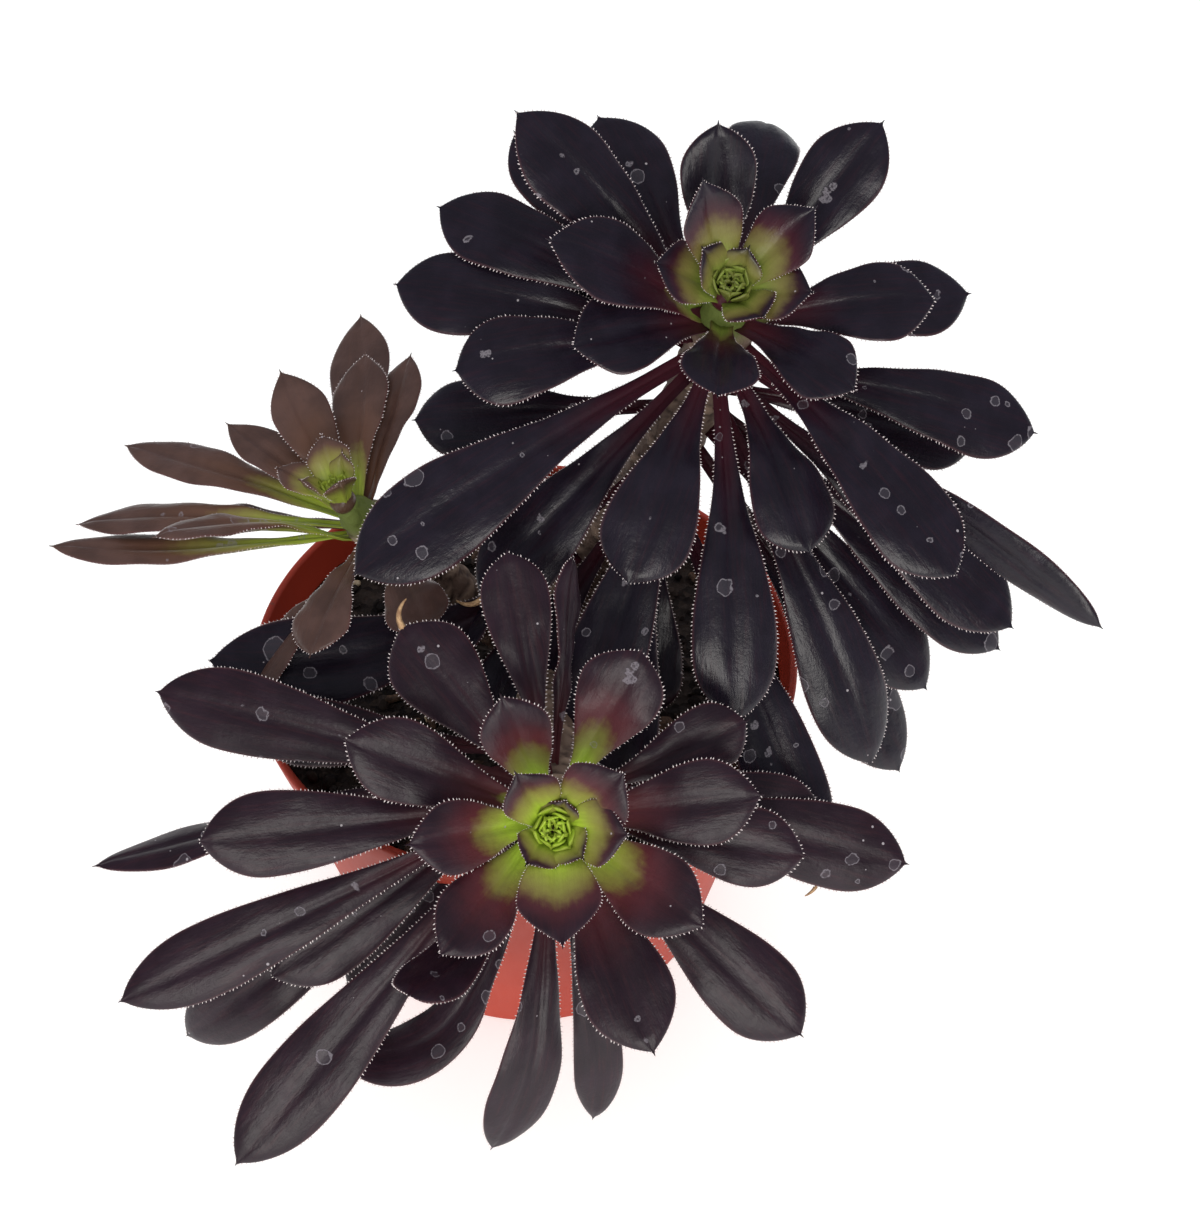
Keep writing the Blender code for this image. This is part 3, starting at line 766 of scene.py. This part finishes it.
def grow_bud(rosette, rows, width, rise):
    """The growing tip: young leaves round a dome, and a tight spiral of tiny ones over it."""
    core = 0.55 * rosette.branch_radius
    seat = rosette.path[-1] + rosette.axis * (core + rise * MM)
    for age, row in enumerate(rows):
        look = dict(green=0.86 - 0.05 * age, wave=0.15, point=1.35, worn=0.1)
        leaf = Leaf(rosette, age, *row, look)
        name = f"{rosette.name}_young_leaf_{age}"
        start = seat + rosette.radial(leaf.azimuth) * core / 2
        place(name, leaf.mesh(name, start), "heart_leaf", MATERIALS[rosette.name], CILIA)
    heart = bpy.data.meshes.new(rosette.name + "_heart")
    bm = bmesh.new()
    for order in range(HEART_LEAVES):
        share = (order + 1) / HEART_LEAVES
        look = dict(fold=0.75, wave=0.08, point=0.9, green=2.4 - 0.9 * share, worn=0.0)
        turn, lean = order * GOLDEN_ANGLE + 20, 8 + 12 * share
        sizes = (width * (0.34 + 0.48 * share), width * (0.36 + 0.24 * share))
        row = (turn, lean, lean - 24 + 12 * share, *sizes)
        leaf = Leaf(rosette, 0, *row, dict(look, seed=200 + order, bare=True))
        leaf.thickness = HEART_LEAF_THICKNESS
        spread = rosette.radial(leaf.azimuth) * (0.08 + 0.72 * share)
        start = seat + core * (spread + rosette.axis * (0.95 - 0.75 * share))
        small = leaf.mesh("small", start)
        bm.from_mesh(small)
        bpy.data.meshes.remove(small)
    bmesh.ops.create_icosphere(bm, subdivisions=3, radius=core, matrix=Matrix.Translation(seat))
    bm.to_mesh(heart)
    bm.free()
    item = place(rosette.name + "_heart", heart, "heart_leaf", MATERIALS[rosette.name], CILIA)
    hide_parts(rosette.name + "_bud")


def arc(centre_r, centre_z, radius, start, end, steps=8):
    """Profile points along an arc between two angles, in degrees."""
    angles = [radians(start + (end - start) * i / steps) for i in range(steps + 1)]
    return [(centre_r + radius * cos(a), centre_z + radius * sin(a)) for a in angles]


def wall_radius(z):
    """The pot's outer radius at this height."""
    return POT_BASE_RADIUS + (POT_RIM_RADIUS - POT_BASE_RADIUS) * z / POT_HEIGHT


def turned(name, profile, steps):
    """A closed solid: a profile of (r, z) points from the axis to the axis, turned about Z."""
    bm = bmesh.new()
    verts = [bm.verts.new((r, 0, z)) for r, z in profile]
    edges = [bm.edges.new(pair) for pair in zip(verts, verts[1:])]
    bmesh.ops.spin(
        bm, geom=verts + edges, axis=(0, 0, 1), cent=(0, 0, 0), angle=2 * pi, steps=steps, use_merge=True
    )
    bmesh.ops.remove_doubles(bm, verts=bm.verts, dist=1e-6)
    bmesh.ops.recalc_face_normals(bm, faces=bm.faces)
    mesh = bpy.data.meshes.new(name)
    bm.to_mesh(mesh)
    bm.free()
    return mesh


def make_pot():
    """A thin plastic nursery pot with a rounded lip, a faint step below it and drain holes."""
    lip, foot = LIP_RADIUS, HEEL_RADIUS
    outer = arc(POT_RIM_RADIUS - lip, POT_HEIGHT - lip, lip, 90, 0)
    inner = arc(POT_RIM_RADIUS - WALL + lip, POT_HEIGHT - lip, lip, 180, 90)
    heel = arc(POT_BASE_RADIUS - foot, foot, foot, 0, -90)
    step_z = POT_HEIGHT - STEP_DOWN
    step_top = step_z + 1 * MM
    step = [(wall_radius(step_top), step_top), (wall_radius(step_z) - STEP_DEPTH, step_z)]
    corner = arc(wall_radius(FLOOR) - WALL - 2 * MM, FLOOR + 2 * MM, 2 * MM, -90, -10)
    profile = [(0, FLOOR)] + corner + inner + outer + step + heel + [(0, 0)]
    mesh = turned("pot_shell", profile, POT_STEPS)
    item = place("pot_shell", mesh, "red_plastic", plastic_material())
    bm = bmesh.new()
    for hole in range(DRAIN_HOLES):
        angle = 2 * pi * hole / DRAIN_HOLES
        spot = Matrix.Translation((DRAIN_CIRCLE * cos(angle), DRAIN_CIRCLE * sin(angle), 0))
        size = dict(radius1=DRAIN_RADIUS, radius2=DRAIN_RADIUS, depth=4 * FLOOR)
        bmesh.ops.create_cone(bm, cap_ends=True, segments=32, matrix=spot, **size)
    cutter_mesh = bpy.data.meshes.new("drain_cutter")
    bm.to_mesh(cutter_mesh)
    bm.free()
    cutter = bpy.data.objects.new("drain_cutter", cutter_mesh)
    bpy.context.scene.collection.objects.link(cutter)
    cut = item.modifiers.new("drain_holes", "BOOLEAN")
    cut.operation, cut.solver, cut.object = "DIFFERENCE", "EXACT", cutter
    apply_modifiers(item)
    bpy.data.objects.remove(cutter, do_unlink=True)
    item.data.shade_smooth()
    crease(item)
    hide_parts("pot")


def apply_modifiers(item):
    """Leaves the item with its evaluated mesh and no modifiers."""
    graph = bpy.context.evaluated_depsgraph_get()
    graph.update()
    mesh = bpy.data.meshes.new_from_object(item.evaluated_get(graph))
    item.modifiers.clear()
    item.data = mesh


def crease(item):
    """Keeps the sharpest edges sharp under smooth shading."""
    bm = bmesh.new()
    bm.from_mesh(item.data)
    for edge in bm.edges:
        edge.smooth = edge.calc_face_angle(pi) < radians(CREASE_ANGLE)
    bm.to_mesh(item.data)
    bm.free()


def make_soil():
    """Crumbly potting mix: a displaced surface, with loose crumbs and pale grains on it."""
    edge = wall_radius(SOIL_TOP) - WALL - 0.1 * MM
    bm = bmesh.new()
    hub = bm.verts.new((0, 0, SOIL_TOP + SOIL_CROWN))
    rows = []
    for ring in range(1, SOIL_RINGS + 1):
        radius = edge * ring / SOIL_RINGS
        row = []
        for spoke in range(SOIL_SPOKES):
            angle = 2 * pi * spoke / SOIL_SPOKES
            at = Vector((radius * cos(angle), radius * sin(angle), 0))
            lumps = noise.fractal(at * 260, 0.8, 2.1, 5) * 0.9 * MM + noise.noise(at * 60) * 1.1 * MM
            crown = SOIL_CROWN * cos(ring / SOIL_RINGS * pi / 2)
            row.append(bm.verts.new((at.x, at.y, SOIL_TOP + crown + min(lumps, 1.6 * MM))))
        rows.append(row)
    for spoke in range(SOIL_SPOKES):
        after = (spoke + 1) % SOIL_SPOKES
        bm.faces.new((hub, rows[0][spoke], rows[0][after]))
        for low, high in zip(rows, rows[1:]):
            bm.faces.new((low[spoke], high[spoke], high[after], low[after]))
    bottom = FLOOR + 0.3 * MM
    bottom_radius = wall_radius(bottom) - WALL - 0.5 * MM
    below = [
        bm.verts.new((bottom_radius * vert.co.x / edge, bottom_radius * vert.co.y / edge, bottom))
        for vert in rows[-1]
    ]
    for spoke in range(SOIL_SPOKES):
        after = (spoke + 1) % SOIL_SPOKES
        bm.faces.new((rows[-1][spoke], below[spoke], below[after], rows[-1][after]))
    bm.faces.new(below[::-1])
    bmesh.ops.recalc_face_normals(bm, faces=bm.faces)
    mesh = bpy.data.meshes.new("soil_surface")
    bm.to_mesh(mesh)
    bm.free()
    mesh.shade_smooth()
    item = place("soil_surface", mesh, "potting_soil", soil_material())
    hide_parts("soil")


def scatter(name, count, sizes, seed, material, stretch=1.0):
    """Small lumps lying on the soil, a quarter buried, joined in one mesh. Sizes are in mm."""
    chance = np.random.default_rng(seed)
    bm = bmesh.new()
    edge = wall_radius(SOIL_TOP) - WALL - 2.5 * MM
    for lump in range(count):
        radius = edge * chance.uniform(0.02, 1) ** 0.5
        angle = chance.uniform(0, 2 * pi)
        size = chance.uniform(*sizes) * MM / 2
        height = SOIL_TOP + SOIL_CROWN * cos(radius / edge * pi / 2) + 0.25 * size
        turn = Matrix.Rotation(chance.uniform(0, 2 * pi), 4, "Z")
        tilt = Matrix.Rotation(chance.uniform(-0.4, 0.4), 4, "X")
        breadth, depth = size * chance.uniform(0.6, 1), size * chance.uniform(0.5, 0.8)
        shape = Matrix.Diagonal((size * stretch, breadth, depth, 1))
        spot = Matrix.Translation((radius * cos(angle), radius * sin(angle), height))
        matrix = spot @ (turn @ tilt) @ shape
        made = bmesh.ops.create_icosphere(bm, subdivisions=2, radius=1, matrix=matrix)
        for vert in made["verts"]:
            dent = noise.noise(vert.co / (size * 1.3) + Vector((lump, 0, 0)))
            vert.co += vert.normal * size * 0.35 * dent
    mesh = bpy.data.meshes.new(name)
    bm.to_mesh(mesh)
    bm.free()
    mesh.shade_smooth()
    place(name, mesh, "potting_soil", material)


def make_branch(rosette, seed):
    """A woody branch: a swept tube, ringed by the scars of fallen leaves."""
    path = [Vector(point) for point in rosette.path.tolist()]
    line = smooth_line(path, BRANCH_SMOOTHING)
    runs = [0.0]
    for low, high in zip(line, line[1:]):
        runs.append(runs[-1] + (high - low).length)
    rows = int(runs[-1] / BRANCH_ROW)
    bm = bmesh.new()
    layer = bm.verts.layers.float_vector.new("scar")
    sideways = Vector((1, 0.2, 0))
    previous = None
    for row in range(rows + 1):
        at = runs[-1] * row / rows
        index = min(max(i for i, run in enumerate(runs) if run <= at), len(line) - 2)
        share = (at - runs[index]) / (runs[index + 1] - runs[index])
        centre = line[index].lerp(line[index + 1], share)
        direction = (line[index + 1] - line[index]).normalized()
        side = (sideways - sideways.dot(direction) * direction).normalized()
        other = direction.cross(side)
        from_head = (runs[-1] - at) / MM
        youth = max(0.0, 1 - from_head * MM / GREEN_WOOD)
        ring = []
        for spoke in range(BRANCH_AROUND):
            turn = 2 * pi * spoke / BRANCH_AROUND
            height, face, seam = leaf_scars(from_head, turn, rosette)
            on_bark = Vector((cos(turn) * 2, sin(turn) * 2, at / MM * 0.16 + seed))
            lumps = noise.fractal(on_bark, 0.7, 2.1, 4)
            radius = rosette.radius_at(from_head * MM) * (0.97 + 0.035 * lumps) + height * MM
            vert = bm.verts.new(centre + radius * (cos(turn) * side + sin(turn) * other))
            vert[layer] = (face, seam, youth)
            ring.append(vert)
        if previous:
            for spoke in range(BRANCH_AROUND):
                after = (spoke + 1) % BRANCH_AROUND
                bm.faces.new((previous[spoke], previous[after], ring[after], ring[spoke]))
        else:
            bm.faces.new(ring[::-1])
        previous = ring
    bm.faces.new(previous)
    bmesh.ops.recalc_face_normals(bm, faces=bm.faces)
    mesh = bpy.data.meshes.new(rosette.name + "_branch")
    bm.to_mesh(mesh)
    bm.free()
    mesh.shade_smooth()
    return place(rosette.name + "_branch", mesh, "bark", BARK)


def leaf_scars(from_head, turn, rosette):
    """Spiralled lens-shaped scars: how far one stands out in mm, and its pale face and dark seam."""
    order = from_head / SCAR_PITCH
    reach = 9.0
    for step in range(int(order) - 4, int(order) + 6):
        centre_turn = radians(step * GOLDEN_ANGLE)
        gap = abs((turn - centre_turn + pi) % (2 * pi) - pi) * rosette.branch_radius / MM
        rise = (from_head - step * SCAR_PITCH) + 0.10 * gap * gap
        reach = min(reach, ((gap / SCAR_HALF_WIDTH) ** 2 + (rise / SCAR_HALF_HEIGHT) ** 2) ** 0.5)
    face = max(0.0, 1 - reach)
    seam = max(0.0, 1 - abs(reach - 1.0) / 0.22)
    return 0.30 * min(face * 2.5, 1) - 0.22 * seam, min(face * 1.6, 1), seam


def smooth_line(points, steps):
    """A Catmull-Rom line through these points."""
    padded = [2 * points[0] - points[1]] + points + [2 * points[-1] - points[-2]]
    line = []
    for a, b, c, d in zip(padded, padded[1:], padded[2:], padded[3:]):
        for step in range(steps):
            t = step / steps
            square, cube = 2 * a - 5 * b + 4 * c - d, 3 * b - a - 3 * c + d
            line.append(0.5 * ((2 * b) + (c - a) * t + square * t**2 + cube * t**3))
    return line + [points[-1]]


def make_stem():
    """Three branches, the longest of them in place of the CAD stem."""
    for seed, rosette in enumerate((TOP, FRONT, LEFT), start=1):
        item = make_branch(rosette, seed)
        if rosette is TOP:
            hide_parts("stem")


# ------------ studio


def make_floor():
    mesh = bpy.data.meshes.new("floor")
    corners = ((-1, -1), (1, -1), (1, 1), (-1, 1))
    points = [(x * FLOOR_HALF_SIZE, y * FLOOR_HALF_SIZE, 0) for x, y in corners]
    mesh.from_pydata(points, [], [(0, 1, 2, 3)])
    mesh.materials.append(floor_material())
    floor = bpy.data.objects.new("floor", mesh)
    bpy.context.scene.collection.objects.link(floor)


def make_window():
    """A softbox a metre from the plant, like a low window in front of it."""
    lamp = bpy.data.lights.new("window", "AREA")
    lamp.shape = "RECTANGLE"
    lamp.size, lamp.size_y = LAMP_SIZE
    lamp.energy = LAMP_RADIANCE * pi * LAMP_SIZE[0] * LAMP_SIZE[1]
    lamp.color = LAMP_COLOUR
    item = bpy.data.objects.new("window", lamp)
    turn, rise = radians(LAMP_AZIMUTH), radians(LAMP_ELEVATION)
    away = Vector((cos(turn) * cos(rise), sin(turn) * cos(rise), sin(rise)))
    item.location = Vector(LAMP_TARGET) + away * LAMP_DISTANCE
    item.rotation_euler = away.to_track_quat("Z", "Y").to_euler()
    bpy.context.scene.collection.objects.link(item)


def make_sky():
    """Even light from above that only the diffuse surfaces see, so that the skins stay dark."""
    sky = bpy.data.lights.new("sky", "SUN")
    sky.energy, sky.angle = SKY_STRENGTH, radians(SKY_SPREAD)
    item = bpy.data.objects.new("sky", sky)
    item.visible_glossy = False
    bpy.context.scene.collection.objects.link(item)


def make_camera():
    camera = bpy.data.cameras.new("camera")
    camera.lens, camera.sensor_width, camera.sensor_fit = CAMERA_LENS, CAMERA_SENSOR, "HORIZONTAL"
    camera.clip_start = 0.01
    item = bpy.data.objects.new("camera", camera)
    tilt = Matrix.Rotation(radians(90 - CAMERA_DOWN), 4, "X")
    roll = Matrix.Rotation(radians(CAMERA_ROLL), 4, "Z")
    item.matrix_world = Matrix.Translation(CAMERA_PLACE) @ tilt @ roll
    bpy.context.scene.collection.objects.link(item)
    bpy.context.scene.camera = item


def make_studio():
    make_floor()
    world = bpy.data.worlds.new("studio")
    bpy.context.scene.world = world
    world.use_nodes = True
    background = world.node_tree.nodes["Background"]
    background.inputs["Color"].default_value = WORLD_COLOUR
    background.inputs["Strength"].default_value = WORLD_STRENGTH
    make_sky()
    make_window()
    bpy.context.scene.view_settings.view_transform = "Standard"


make_camera()
make_studio()
make_pot()
make_soil()
CHIP = grain_material("bark_chip", (0.11, 0.06, 0.035), (0.03, 0.016, 0.01))
GRAIN = grain_material("pale_grain", (0.55, 0.45, 0.30), (0.34, 0.26, 0.17))
scatter("soil_crumbs", 420, (1.2, 3.6), 11, soil_material(), stretch=1.2)
scatter("bark_chips", 60, (2.0, 5.0), 12, CHIP, stretch=1.7)
scatter("pale_grains", 26, (1.6, 3.2), 13, GRAIN)
make_stem()
grow_leaves(TOP, TOP_LEAVES)
grow_leaves(FRONT, FRONT_LEAVES)
grow_leaves(LEFT, LEFT_LEAVES)
grow_bud(TOP, TOP_BUD, width=9, rise=-1.0)
grow_bud(FRONT, FRONT_BUD, width=9, rise=1.5)
grow_bud(LEFT, LEFT_BUD, width=7, rise=-1.5)
